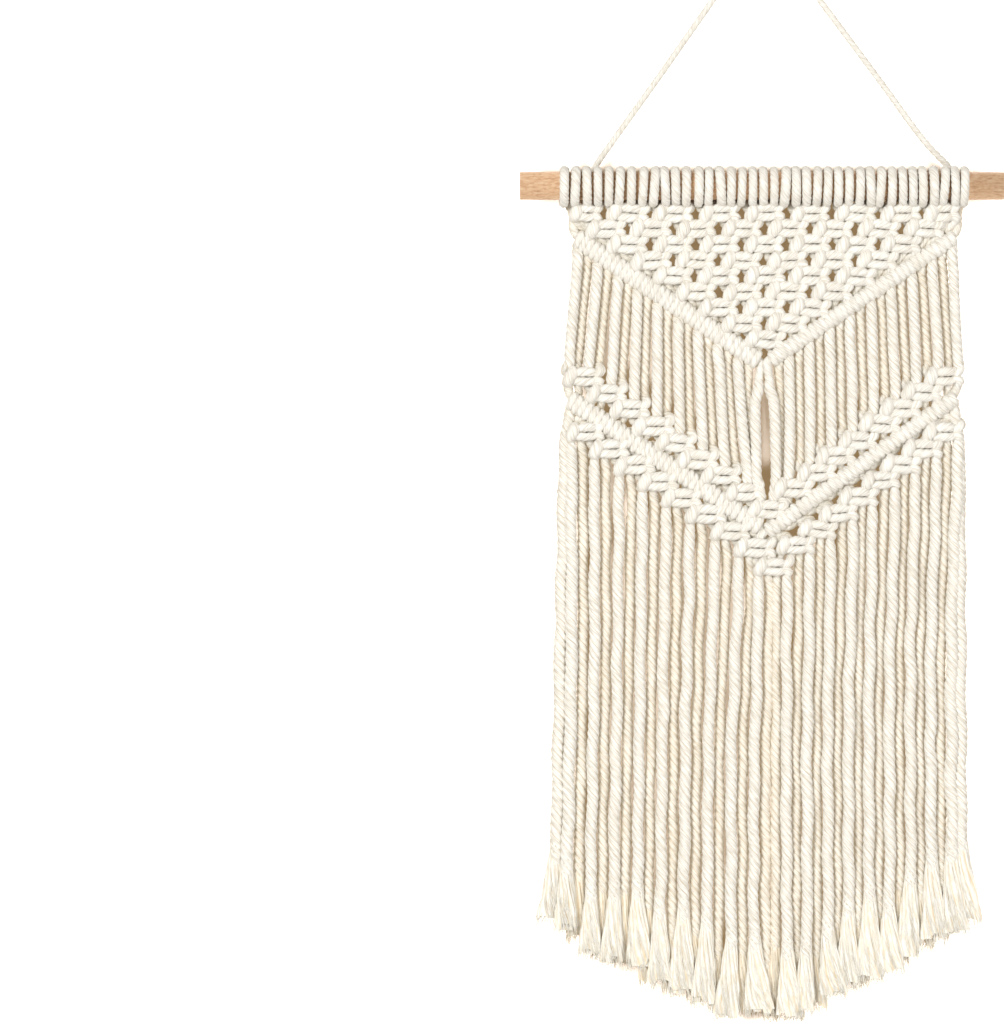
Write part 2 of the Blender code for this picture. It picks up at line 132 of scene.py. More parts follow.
def smoothPath(rows, step):
    # centripetal Catmull-Rom through every row, then even steps along it
    rows = np.asarray(rows, float)
    rows = np.vstack([2 * rows[0] - rows[1], rows, 2 * rows[-1] - rows[-2]])
    chord = np.linalg.norm(np.diff(rows[:, :3], axis=0), axis=1)
    t = np.concatenate([[0], np.cumsum(np.sqrt(np.maximum(chord, 1e-4)))])
    fine = []
    for i in range(1, len(rows) - 2):
        parts = max(3, int(chord[i] / twist["fineStep"]))
        u = np.linspace(t[i], t[i + 1], parts, endpoint=False)[:, None]
        p0, p1, p2, p3 = rows[i - 1:i + 3]
        t0, t1, t2, t3 = t[i - 1:i + 3]
        a1 = (t1 - u) / (t1 - t0) * p0 + (u - t0) / (t1 - t0) * p1
        a2 = (t2 - u) / (t2 - t1) * p1 + (u - t1) / (t2 - t1) * p2
        a3 = (t3 - u) / (t3 - t2) * p2 + (u - t2) / (t3 - t2) * p3
        b1 = (t2 - u) / (t2 - t0) * a1 + (u - t0) / (t2 - t0) * a2
        b2 = (t3 - u) / (t3 - t1) * a2 + (u - t1) / (t3 - t1) * a3
        fine.append((t2 - u) / (t2 - t1) * b1 + (u - t1) / (t2 - t1) * b2)
    fine = np.vstack(fine + [rows[-2:-1]])
    pieces = np.diff(fine[:, :3], axis=0)
    lengths = np.maximum(np.linalg.norm(pieces, axis=1), 1e-6)
    walked = np.concatenate([[0], np.cumsum(lengths)])
    ahead = pieces / lengths[:, None]
    bend = np.concatenate([[0], np.linalg.norm(np.diff(ahead, axis=0), axis=1)]) / lengths
    bend = np.convolve(bend, np.ones(twist["bendWindow"]) / twist["bendWindow"], mode="same")
    crowd = np.clip(bend * twist["crowding"], 0, twist["crowdingLimit"])
    crowded = np.concatenate([[0], np.cumsum(lengths * (1 + crowd))])
    even = np.linspace(0, crowded[-1], max(4, int(crowded[-1] / step)))
    path = np.column_stack([np.interp(even, crowded, fine[:, k]) for k in range(fine.shape[1])])
    return path, np.interp(even, crowded, walked)


def turningFrames(centres):
    # two directions across the path, which follow it without turning about it
    ahead = np.gradient(centres, axis=0)
    ahead /= np.linalg.norm(ahead, axis=1)[:, None]
    side = np.empty_like(centres)
    first = np.cross(ahead[0], (0.0, 1.0, 0.0))
    if np.linalg.norm(first) < 0.1:  # the path starts straight back or forward
        first = np.cross(ahead[0], (1.0, 0.0, 0.0))
    side[0] = first / np.linalg.norm(first)
    for k in range(1, len(centres)):
        moved = side[k - 1] - np.dot(side[k - 1], ahead[k]) * ahead[k]
        side[k] = moved / math.sqrt(moved[0] ** 2 + moved[1] ** 2 + moved[2] ** 2)
    return side, np.cross(ahead, side)


def twistedTube(rows, look, tone):
    # rows are x, y, z, radius and looseness, and tone is the cord's own, from 0 to 1. Beside points and quads
    # it returns what the cotton reads at each point: the place on a straight cord, ply or groove, and a tone
    # that is mostly painted shade on cords further back and partly the cord's own.
    path, along = smoothPath(rows, look["ringStep"])
    centres, radius, loose = path[:, :3], path[:, 3], np.clip(path[:, 4], 0, 1)
    side, front = turningFrames(centres)
    turnRate = 2 * math.pi / (look["lay"] * (1 + twist["looseLay"] * loose))
    turned = np.concatenate([[0], np.cumsum((turnRate[1:] + turnRate[:-1]) / 2 * np.diff(along))])
    around = np.arange(look["pointsAround"]) / look["pointsAround"] * 2 * math.pi
    crest = np.abs(np.cos(look["plies"] * around / 2))
    free = np.clip(loose / twist["freeFrom"], 0, 1)
    pressed = twist["pressedGroove"] + (1 - twist["pressedGroove"]) * free
    depth = look["groove"] * (pressed + twist["looseGroove"] * loose)
    shade = twist["pressedShade"] + (1 - twist["pressedShade"]) * free
    reach = radius[:, None] * (1 - depth[:, None] * (1 - crest[None, :]))
    reach *= 1 + rng.normal(0, twist["uneven"], reach.shape)
    angle = around[None, :] - turned[:, None] + tone * twist["ownTurn"]
    points = (
        centres[:, None, :]
        + side[:, None, :] * (reach * np.cos(angle))[:, :, None]
        + front[:, None, :] * (reach * np.sin(angle))[:, :, None]
    )
    straight = np.stack(
        [
            np.broadcast_to(np.cos(around) * twist["straightRadius"], reach.shape),
            np.broadcast_to(np.sin(around) * twist["straightRadius"], reach.shape),
            np.broadcast_to(along[:, None] + tone * twist["ownFibres"], reach.shape),
        ],
        axis=2,
    )
    # painted shade: cords that hang further back get the warm tint, and cords in front stay white
    litShare = np.clip((look["shadeFromY"] - points[:, :, 1]) / twist["shadeFade"], 0, 1)
    return {
        "points": points.reshape(-1, 3),
        "quads": ringQuads(*reach.shape),
        "straight": straight.reshape(-1, 3),
        "crest": (1 - (1 - crest[None, :]) * shade[:, None]).reshape(-1),
        "tone": litShare.reshape(-1) * (1 - twist["ownTone"]) + tone * twist["ownTone"],
    }


def meshPiece(name, tubes, material):
    # joins tubes to one mesh with smooth faces
    starts = np.cumsum([0] + [len(tube["points"]) for tube in tubes])
    points = np.vstack([tube["points"] for tube in tubes]) * mm
    quads = np.vstack([tube["quads"] + start for tube, start in zip(tubes, starts)]).astype(np.int32)
    mesh = bpy.data.meshes.new(name)
    mesh.vertices.add(len(points))
    mesh.vertices.foreach_set("co", points.ravel().astype(np.float32))
    mesh.loops.add(quads.size)
    mesh.loops.foreach_set("vertex_index", quads.ravel())
    mesh.polygons.add(len(quads))
    mesh.polygons.foreach_set("loop_start", np.arange(0, quads.size, 4, dtype=np.int32))
    mesh.update(calc_edges=True)
    mesh.polygons.foreach_set("use_smooth", np.ones(len(quads), dtype=bool))
    straight = mesh.attributes.new("straightCord", "FLOAT_VECTOR", "POINT")
    straight.data.foreach_set("vector", np.vstack([tube["straight"] for tube in tubes]).ravel())
    for key in ("crest", "tone"):
        values = mesh.attributes.new(key, "FLOAT", "POINT")
        values.data.foreach_set("value", np.concatenate([tube[key] for tube in tubes]))
    mesh.validate()
    piece = addObject(name, mesh)
    piece.data.materials.append(material)
    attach(piece, "root")
    print(f"{name}: {len(quads) * 2} triangles")
    return piece


# Cotton

cottonLook = {
    "body": "#E9E8E4",
    # painted shade: the warm colour in the grooves between the plies
    "groove": "#D5C5AB",
    "streak": "#DCD7CE",
    "streakShare": 0.9,
    # painted shade: the tint of cords that hang further back, which also carries a little of each cord's own
    # tone
    "warm": "#FCF2E1",
    "fibreScale": (1.5, 1.5, 0.25),  # fibres 0.7 mm wide and 4 mm long, drawn coarse so that they show
    "bump": 1.0,
    "bumpHeight": 0.0004,  # metres
    "roughness": 0.92,
    "sheen": 0.3,
    "sheenRoughness": 0.45,
    "sheenTint": "#FFFAF2",
    "specular": 0.25,
}


def makeCotton(name, look):
    # natural cotton yarn, twisted: matt, with a soft sheen from loose fibres, painted warm shade between the
    # plies and painted warm shade on the cords that hang further back
    material, tree, shader = newMaterial(name)
    straight = addNode(tree, "ShaderNodeAttribute", attribute_name="straightCord")
    crest = addNode(tree, "ShaderNodeAttribute", attribute_name="crest")
    tone = addNode(tree, "ShaderNodeAttribute", attribute_name="tone")
    fibres = addNode(
        tree, "ShaderNodeMapping", {"Vector": straight.outputs["Vector"], "Scale": look["fibreScale"]}
    )
    streaks = addNode(
        tree,
        "ShaderNodeTexNoise",
        {"Vector": fibres.outputs["Vector"], "Scale": 1.0, "Detail": 3.0, "Roughness": 0.6},
    )
    # painted warm shade in the grooves, read from the crest attribute
    groove = addNode(
        tree,
        "ShaderNodeValToRGB",
        {"Fac": crest.outputs["Fac"]},
        stops=[(0.0, look["groove"]), (0.24, look["body"])],
    )
    streakTint = addNode(
        tree,
        "ShaderNodeValToRGB",
        {"Fac": streaks.outputs["Fac"]},
        stops=[(0.36, look["streak"]), (0.58, "#FFFFFF")],
    )
    # painted shade: warm where a cord hangs further back and white in front, mixed with a little of its own
    # tone
    shadeAndToneTint = addNode(
        tree,
        "ShaderNodeValToRGB",
        {"Fac": tone.outputs["Fac"]},
        stops=[(0.0, look["warm"]), (1.0, "#FFFFFF")],
    )
    streaked = addNode(  # inputs 6 and 7 are a mix node's two colours, and output 2 is its result
        tree,
        "ShaderNodeMix",
        {0: look["streakShare"], 6: groove.outputs["Color"], 7: streakTint.outputs["Color"]},
        data_type="RGBA",
        blend_type="MULTIPLY",
    )
    toned = addNode(
        tree,
        "ShaderNodeMix",
        {0: 1.0, 6: streaked.outputs[2], 7: shadeAndToneTint.outputs["Color"]},
        data_type="RGBA",
        blend_type="MULTIPLY",
    )
    bump = addNode(
        tree,
        "ShaderNodeBump",
        {"Height": streaks.outputs["Fac"], "Strength": look["bump"], "Distance": look["bumpHeight"]},
    )
    tree.links.new(toned.outputs[2], shader.inputs["Base Color"])
    tree.links.new(bump.outputs["Normal"], shader.inputs["Normal"])
    shader.inputs["Roughness"].default_value = look["roughness"]
    shader.inputs["Sheen Weight"].default_value = look["sheen"]
    shader.inputs["Sheen Roughness"].default_value = look["sheenRoughness"]
    shader.inputs["Sheen Tint"].default_value = linear(look["sheenTint"])
    shader.inputs["Specular IOR Level"].default_value = look["specular"]
    return material


cotton = makeCotton("twistedCotton", cottonLook)
# untwisted ends: airier and so whiter, with painted warm shade in the hollows between the yarns
openedLook = {**cottonLook, "body": "#E9E8E3", "groove": "#DFCDAC", "streak": "#F2EBDD", "bump": 0.4}
openedCotton = makeCotton("openedCotton", openedLook)


# The camera, straight on from far, with the photograph's frame

view = {
    "acrossMm": 431.7,  # seen over the photograph's width, at the dowel's axis
    "middleX": -112.7,
    "middleZ": -249.0,
    "distance": 2.6,  # metres
    "pixelsWide": 1004,
    "pixelsHigh": 1024,
    "sensor": 36,  # mm
}
camera = addObject("camera", bpy.data.cameras.new("camera"))
bpy.context.scene.camera = camera
camera.location = (view["middleX"] * mm, -view["distance"], view["middleZ"] * mm)
camera.rotation_euler = (math.pi / 2, 0, 0)
heightSeen = view["acrossMm"] * mm * view["pixelsHigh"] / view["pixelsWide"]
camera.data.sensor_width = view["sensor"]
camera.data.lens = view["sensor"] * view["distance"] / heightSeen
camera.data.clip_end = 20


# The hanging rope, along the route of its solid

hanger = {
    "radius": 1.5,
    "look": {"plies": 3, "pointsAround": 18, "ringStep": 0.7, "lay": 9.6, "groove": 0.26, "shadeFromY": 40.0},
    "leftX": -74.4,
    "rightX": 83.7,
    "back": 11.1,
    "tone": 0.35,
    "knotTone": 0.3,
    "knotTurn": 1.9,  # radius of the rope's turns in its end knots
    "knotRadius": 1.15,  # of the rope, pulled tight there
    "knotTop": 2.4,  # a knot's first turn starts this far above its middle
    "knotDrop": 0.3,  # and each eighth of a turn goes down by this
}


def hangerRoute():
    left, right, back = hanger["leftX"], hanger["rightX"], hanger["back"]
    return [
        (left, back + 0.5, dowelZ - 8.6),
        (left, back + 0.5, dowelZ - 6.0),
        (left, back + 0.2, dowelZ - 2.6),
        (left, back, dowelZ + 0.8),
        (left + 0.5, back - 0.6, dowelZ + 4.6),
        (left + 2.0, back - 2.9, dowelZ + 8.8),
        (left + 9.6, 7.0, -89.0),
        (-45.4, 4.9, -62.0),
        (-22.6, 2.4, -29.6),
        (-7.8, 0.8, -8.6),
        (-2.6, 0.2, -0.6),
        (0.0, 0.0, 1.5),
        (2.7, 0.2, -0.6),
        (8.2, 0.8, -8.2),
        (24.4, 2.4, -29.2),
        (49.6, 4.9, -62.6),
        (right - 13.6, 7.1, -90.0),
        (right - 3.9, back - 2.6, dowelZ + 8.8),
        (right - 0.9, back - 0.4, dowelZ + 4.8),
        (right, back, dowelZ + 0.8),
        (right, back + 0.2, dowelZ - 2.6),
        (right, back + 0.5, dowelZ - 6.0),
        (right, back + 0.5, dowelZ - 8.6),
    ]


def stopperKnot(x, y, z):
    # the rope's end, wound twice round itself
    rows = []
    for eighth in range(17):
        turn = eighth / 8 * 2 * math.pi
        knotX = x + hanger["knotTurn"] * math.cos(turn)
        knotY = y + hanger["knotTurn"] * math.sin(turn)
        knotZ = z + hanger["knotTop"] - hanger["knotDrop"] * eighth
        rows.append((knotX, knotY, knotZ, hanger["knotRadius"], 0.2))
    return rows


ropeRows = [(x, y, z, hanger["radius"], 0.0) for x, y, z in hangerRoute()]
hangingRope = meshPiece("hangingRope", [twistedTube(ropeRows, hanger["look"], hanger["tone"])], cotton)
routeLine, routeAlong = smoothPath(ropeRows, 4.0)
for side, x in (("left", hanger["leftX"]), ("right", hanger["rightX"])):
    knotRows = stopperKnot(x, hanger["back"] + 0.5, dowelZ - 6.4)
    knot = twistedTube(knotRows, hanger["look"], hanger["knotTone"])
    meshPiece(f"{side}RopeKnot", [knot], cotton)
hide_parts("hanging_cord")
print(f"hanging rope {routeAlong[-1]:.0f} mm")


# The macrame: strands are numbered 1 to 38 from the left, and each stage adds rows of x, y, z, radius and
# looseness to them. Left is side -1 and right is side 1.

pattern = {"ends": 38, "pitch": 4.65}
innermost = pattern["ends"] // 2  # places are counted from the edge to here on each side

# the unevenness of handwork: standard deviations in mm, where no note says otherwise
uneven = {
    "headX": 0.35,  # at most, to either side
    "headTilt": 0.25,
    "headRadius": 0.07,
    "knotX": 0.25,
    "knotZ": 0.18,
    "knotTurn": 0.045,  # radians
    "knotSize": 0.03,  # as a share
    "cordRadius": 0.03,
    "hitchAlong": 0.12,
    "bandX": 0.14,
    "bandY": 0.1,
    "tip": 1.3,
    "fringeX": 0.12,
    "fringeRadius": 0.04,
    "tuftLean": 1.2,
    "rib": 0.03,  # as a share
}
strands = {number: [] for number in range(1, pattern["ends"] + 1)}
# the strands at each side's places, outermost first
hanging = {-1: list(range(1, innermost + 1)), 1: list(range(pattern["ends"], innermost, -1))}


def strandX(number, pitch):
    return (number - (pattern["ends"] + 1) / 2) * pitch


# Lark's heads: behind, the fold lies outside the two ends; in front, two plain wraps show
head = {
    "turn": 7.55,  # from the dowel's axis to the middle of a wrap
    "radius": 2.0,
    "foldY": 10.2,
    "foldRadius": 1.7,
    "endRadius": 1.6,
    "slim": 0.3,  # taken off the radius behind the dowel
    "pressed": 0.75,  # the wraps are pulled this much flatter over the top
    "tiltReach": 7,  # a head's tilt is reached this far above and below the axis
    "shift": 2.0,  # the heads in the middle sit this far to the right, so those on the left are wider apart
    "halfRow": 86.0,  # this far from the middle they don't shift
}


def larksHead(number):
    even = strandX(number, pattern["pitch"])
    even += head["shift"] * (1 - (even / head["halfRow"]) ** 2)
    x = even + rng.uniform(-uneven["headX"], uneven["headX"])
    inward = 1 if number % 2 else -1
    middle = even + inward * pattern["pitch"] / 2
    tilt = rng.normal(0, uneven["headTilt"])
    fat = rng.normal(0, uneven["headRadius"])
    rows = [
        (middle, head["foldY"], dowelZ - 0.6, head["foldRadius"], 0.0),
        (middle - inward * 1.6, head["foldY"] - 0.5, dowelZ - 1.4, head["foldRadius"], 0.0),
    ]
    for degrees in range(-40, -341, -30):  # under the dowel, up its front and over its top
        turn = math.radians(degrees)
        slim = head["slim"] if degrees > -80 or degrees < -300 else 0.0
        reach = head["turn"] - (head["pressed"] if -285 < degrees < -225 else 0.0)
        up = reach * math.sin(turn)
        across = x - inward * slim * 2 + tilt * up / head["tiltReach"]
        rows.append((across, reach * math.cos(turn), dowelZ + up, head["radius"] - slim + fat, 0.0))
    rows.append((x + inward * 0.9, 6.4, dowelZ - 1.5, head["endRadius"], 0.0))
    rows.append((x + inward * 0.9, 5.4, dowelZ - 5.6, head["endRadius"], 0.0))
    return rows


# Square knots, seen from the front: across, up and out from the knot's middle, and the cord's radius.
# The left cord crosses in front to the right and back again; the right one passes behind, and its turn
# stands out at the left edge over both passes.
knotWays = (
    [  # left cord
        (-7.7, 2.5, -0.3, 2.1), (-5.8, 1.0, 0.2, 1.8), (-3.0, 1.6, 2.4, 1.9), (0.2, 2.05, 3.2, 2.2),
        (3.2, 1.95, 2.8, 2.05), (5.3, 1.4, 1.0, 1.7), (6.3, 0.8, -0.8, 1.5), (6.4, 0.0, -1.6, 1.4),
        (6.3, -0.8, -0.8, 1.5), (5.3, -1.5, 1.0, 1.7), (3.2, -2.1, 2.6, 1.9), (0.2, -2.2, 3.0, 2.05),
        (-2.8, -1.9, 2.7, 2.0), (-5.2, -2.0, 0.9, 1.9), (-7.2, -2.5, 0.2, 2.1), (-6.5, -3.4, -0.1, 2.0),
    ],
    [(-2.2, 1.6, 0.0, 1.6), (-1.8, -1.6, 0.0, 1.6), (-2.0, -3.3, 0.0, 1.8)],
    [(2.2, 1.6, 0.0, 1.6), (1.8, -1.6, 0.0, 1.6), (2.0, -3.3, 0.0, 1.8)],
    [  # right cord
        (7.5, 2.4, 1.8, 2.15), (6.1, 1.3, 2.1, 2.1), (4.8, 0.8, 0.2, 1.7), (2.8, 1.5, -2.4, 1.6),
        (0.0, 1.7, -3.1, 1.7), (-3.0, 1.9, -2.6, 1.7), (-4.7, 2.7, -0.2, 1.9), (-4.2, 2.4, 2.2, 2.35),
        (-5.2, 0.2, 3.6, 2.85), (-6.5, -2.0, 2.7, 2.5), (-5.9, -3.1, 0.4, 1.8), (-3.0, -2.0, -2.4, 1.6),
        (0.0, -1.7, -3.1, 1.7), (2.8, -1.5, -2.4, 1.6), (4.8, -0.8, 0.2, 1.7), (6.1, -1.4, 2.1, 2.05),
        (7.3, -2.5, 1.9, 2.1), (6.5, -3.4, 1.0, 2.0),
    ],
)
knotEntries = {"across": (-7.6, -3.2, 3.2, 7.6), "upOutRadius": (3.9, -1.2, 2.1)}
bulgeFrom = 2.3  # the turn at the left edge is where the right cord is thicker than this


def squareKnot(numbers, x, z, entering, bulge=1.0, wide=1.0):
    # entering lists which of the four come straight from above, and so need a row where they go in
    x += rng.normal(0, uneven["knotX"])
    z += rng.normal(0, uneven["knotZ"])
    turn = rng.normal(0, uneven["knotTurn"])
    size = 1 + rng.normal(0, uneven["knotSize"])
    for place, (number, way) in enumerate(zip(numbers, knotWays)):
        rows = list(way)
        if place in entering:
            rows.insert(0, (knotEntries["across"][place], *knotEntries["upOutRadius"]))
        for across, up, out, radius in rows:
            swell = radius * size + rng.normal(0, uneven["cordRadius"])
            if radius > bulgeFrom:
                swell *= bulge
            across *= wide
            turnedX = across * math.cos(turn) - up * math.sin(turn)
            turnedZ = across * math.sin(turn) + up * math.cos(turn)
            strands[number].append((x + turnedX * size, panelY - out, z + turnedZ * size, swell, 0.0))


# Double half hitches: each strand winds twice round the holding cord. Along, up and out from the hitch's
# middle in the bar's own directions, and the radius.
hitchWay = [
    (-0.5, 3.3, -2.0, 1.7), (-0.9, 0.6, -3.2, 1.5), (-1.0, -1.6, -2.4, 1.5), (-0.95, -2.5, 0.0, 1.65),
    (-1.15, -1.8, 1.7, 1.75), (-1.35, 0.0, 2.4, 1.8), (-1.55, 1.8, 1.7, 1.75), (-1.5, 2.5, 0.0, 1.65),
    (-0.5, 1.4, -2.6, 1.4), (0.9, -1.4, -2.6, 1.4), (1.6, -2.5, 0.0, 1.65), (1.55, -1.8, 1.7, 1.75),
    (1.35, 0.0, 2.4, 1.8), (1.15, 1.8, 1.7, 1.75), (1.1, 2.5, 0.0, 1.65), (0.6, 1.3, -2.7, 1.4),
    (0.3, -1.6, -2.6, 1.5), (0.2, -3.4, -1.2, 2.2),
]

bars = {
    "hitches": 18,
    "upperBar": {-1: (-185.6, 0.675), 1: (-185.4, 0.668)},  # height at the middle and slope, for each side
    "lowerBar": {-1: (-256.4, 0.668), 1: (-258.4, 0.712)},
    # the hitches of each bar and side are this far apart, and the first begins this far outward
    "pitch": {("upperBar", -1): 4.34, ("upperBar", 1): 4.4, ("lowerBar", -1): 4.56, ("lowerBar", 1): 4.5},
    "start": {("upperBar", -1): 80.6, ("upperBar", 1): 81.8, ("lowerBar", -1): 83.7, ("lowerBar", 1): 82.4},
    "reach": {-1: 1.18, 1: 0.86},  # the right bars are pulled tighter
    "forward": {-1: 0.0, 1: 0.7},  # and stand a little further out
    "inset": {"upperBar": 1.2, "lowerBar": 0.3},  # where the holding cord turns in, outside the first hitch
    "over": {-1: 0.2, 1: 1.8},  # the right bar's end lies over the left one's
    "edgeFromZ": -121.0,  # the upper bar's holding cords come down the edges from here
}


def barZ(bar, side, x):
    # x is counted outward from the middle
    middle, slope = bars[bar][side]
    return middle + slope * x


def barPoint(bar, side, x, along, up, out):
    slope = bars[bar][side][1]
    cosine = 1 / math.hypot(1, slope)
    sine = slope * cosine
    return (
        side * (x - along * cosine - up * sine),
        panelY - out,
        barZ(bar, side, x) - along * sine + up * cosine,
    )


def hitchStrand(number, bar, side, hitch):
    x = bars["start"][bar, side] - bars["pitch"][bar, side] * (hitch - 0.5)
    wobble = rng.normal(0, uneven["hitchAlong"])
    for along, up, out, radius in hitchWay:
        out += bars["forward"][side]
        place = barPoint(bar, side, x, along + wobble, up * bars["reach"][side], out)
        strands[number].append((*place, radius + rng.normal(0, uneven["cordRadius"]), 0.0))


def holdingCord(number, bar, side, fromZ):
    # down the edge, along inside the bar and out at the middle
    edge = bars["start"][bar, side]
    over = bars["over"][side]
    rows = [(side * (edge + 1.6), panelY + 1.6, fromZ, 2.0, 0.0)] if fromZ else []
    rows.append((side * (edge + bars["inset"][bar]), panelY + 0.6, barZ(bar, side, edge) + 3.6, 2.1, 0.0))
    rows.append((*barPoint(bar, side, edge - 1.4, 0.0, 0.4, 0.2), 1.8, 0.0))
    for x in range(76, 3, -8):
        rows.append((*barPoint(bar, side, x, 0.0, 0.0, 0.0), 1.5, 0.0))
    if bar == "upperBar" or side < 0:
        rows.append((*barPoint(bar, side, 1.6, 0.0, 0.2, over), 1.9, 0.0))
        rows.append((side * 2.3, panelY - over * 0.4, barZ(bar, side, 0.0) - 6.6, 2.0, 0.0))
    else:  # this one crosses the middle, and then drops behind
        rows.append((*barPoint(bar, side, -1.6, 0.0, 0.2, over), 1.9, 0.0))
        rows.append((side * 0.6, panelY + 2.8, barZ(bar, side, 0.0) - 4.2, 1.8, 0.0))
    strands[number].extend(rows)


def layBar(bar, fromZ):
    # each side's hitches take places 2 to 19 and leave them one place further out
    for side in (-1, 1):
        holding = hanging[side][0]
        for hitch in range(1, bars["hitches"] + 1):
            hitchStrand(hanging[side][hitch], bar, side, hitch)
        holdingCord(holding, bar, side, fromZ)
        hanging[side] = hanging[side][1:] + [holding]


# The net: each row has a knot less than the one above
net = {
    "rows": 9,
    "knotPitch": 19.6,
    "rowStep": 6.77,
    "firstRowZ": -120.4,
    "bulge": 1.06,
    "edgeKnotIn": 2.0,  # the outermost knots of the first row are pulled in
    "edgeKnotWide": 0.8,
}


def layNet():
    for row in range(1, net["rows"] + 1):
        knots = net["rows"] + 1 - row
        z = net["firstRowZ"] - (row - 1) * net["rowStep"]
        for k in range(knots):
            x = (k - (knots - 1) / 2) * net["knotPitch"]
            first = 2 * row + 4 * k
            entering = range(4) if row == 1 else ()
            wide = 1.0
            if row == 1 and k in (0, knots - 1):
                x -= math.copysign(net["edgeKnotIn"], x)
                wide = net["edgeKnotWide"]
            squareKnot(range(first, first + 4), x, z, entering, net["bulge"], wide)


# Chevrons of square knots: x and z of the outermost and innermost knots of each side and of the one in the
# middle. x is counted outward at the sides, and to the right in the middle. The lower one hangs to the right.
chevrons = {
    "knots": 8,  # on each side
    "upperChevron": {
        -1: ((77.4, -190.7), (8.8, -240.4)),
        1: ((77.0, -190.7), (12.6, -238.7)),
        0: (1.4, -247.4),
    },
    "lowerChevron": {
        -1: ((77.0, -214.6), (4.0, -264.2)),
        1: ((76.6, -214.6), (13.4, -263.2)),
        0: (4.1, -272.6),
    },
}


def chevronPlaces(name, side):
    (outerX, outerZ), (innerX, innerZ) = chevrons[name][side]
    places = []
    for k in range(chevrons["knots"]):
        share = k / (chevrons["knots"] - 1)
        places.append((outerX + (innerX - outerX) * share, outerZ + (innerZ - outerZ) * share))
    return places


def layChevron(name, start, fromAbove):
    # each knot passes its two inner cords to the next, and the one in the middle ties four from both sides
    for side in (-1, 1):
        for k, (x, z) in enumerate(chevronPlaces(name, side)):
            four = hanging[side][2 * k + start:2 * k + start + 4]
            entering = range(4) if k == 0 else ((2, 3) if side < 0 else (0, 1))
            squareKnot(four if side < 0 else four[::-1], side * x, z, entering if fromAbove else ())
    squareKnot(hanging[-1][-2:] + hanging[1][-2:][::-1], *chevrons[name][0], ())


# The open band between the upper bar and the upper chevron
band = {
    "stagger": 1.5,  # every other cord hangs this far forward, and the rest this far back
    "frontRadius": 2.42,
    "backRadius": 2.35,
    "topBelow": 3.5,  # the first row lies this far below the hitches
    "footAbove": 5.2,  # and the last one this far above the knots' middles
    "edgeIn": 0.4,  # the edge cord starts this far in
    # where the cords go in, counted outward from their knot's middle: some places, and the rest
    "feet": {1: 6.7, 2: 2.8, innermost: 2.8},
    "frontFoot": -2.0,
    "backFoot": -6.2,
    "slit": 1.6,  # the middle cords part by this much to each side
    "slitPlaces": 1.5,  # their neighbours part less, and it fades over this many places
    "slitEase": 0.25,  # low, so that they part at once and run side by side
    "shares": (0.0, 0.12, 0.5, 0.88, 1.0),  # of the way down, where the rows lie
    "looseness": 0.3,
}


def layBand():
    # every other cord hangs in front, and all lean outward a little to the chevron's knots
    for side in (-1, 1):
        knots = chevronPlaces("upperChevron", side)
        for place, n in enumerate(hanging[side], 1):
            front = place % 2
            knotX, knotZ = knots[min(max((place - 3) // 2, 0), len(knots) - 1)]
            if place == innermost:
                middleX, knotZ = chevrons["upperChevron"][0]
                knotX = side * middleX
            footX = knotX + band["feet"].get(place, band["frontFoot"] if front else band["backFoot"])
            footZ = knotZ + band["footAbove"]
            topX = abs(strands[n][-1][0]) - band["edgeIn"] * (place == 1)
            topZ = strands[n][-1][2] - band["topBelow"]
            depth = panelY + band["stagger"] * (-1 if front else 1)
            radius = band["frontRadius"] if front else band["backRadius"]
            part = band["slit"] * math.exp((place - innermost) / band["slitPlaces"])
            for share in band["shares"]:
                x = topX + (footX - topX) * share + part * math.sin(math.pi * share) ** band["slitEase"]
                z = topZ + (footZ - topZ) * share
                sway = rng.normal(0, uneven["bandX"])
                y = depth + rng.normal(0, uneven["bandY"])
                strands[n].append((side * x + sway, y, z, radius, band["looseness"]))


for number in strands:
    strands[number].extend(larksHead(number))
layNet()
layBar("upperBar", bars["edgeFromZ"])
layBand()
layChevron("upperChevron", 0, False)
layBar("lowerBar", None)
layChevron("lowerChevron", 1, True)
print("knotted down to the fringe")


# The fringe: cords sway a little, loosen and open into tufts

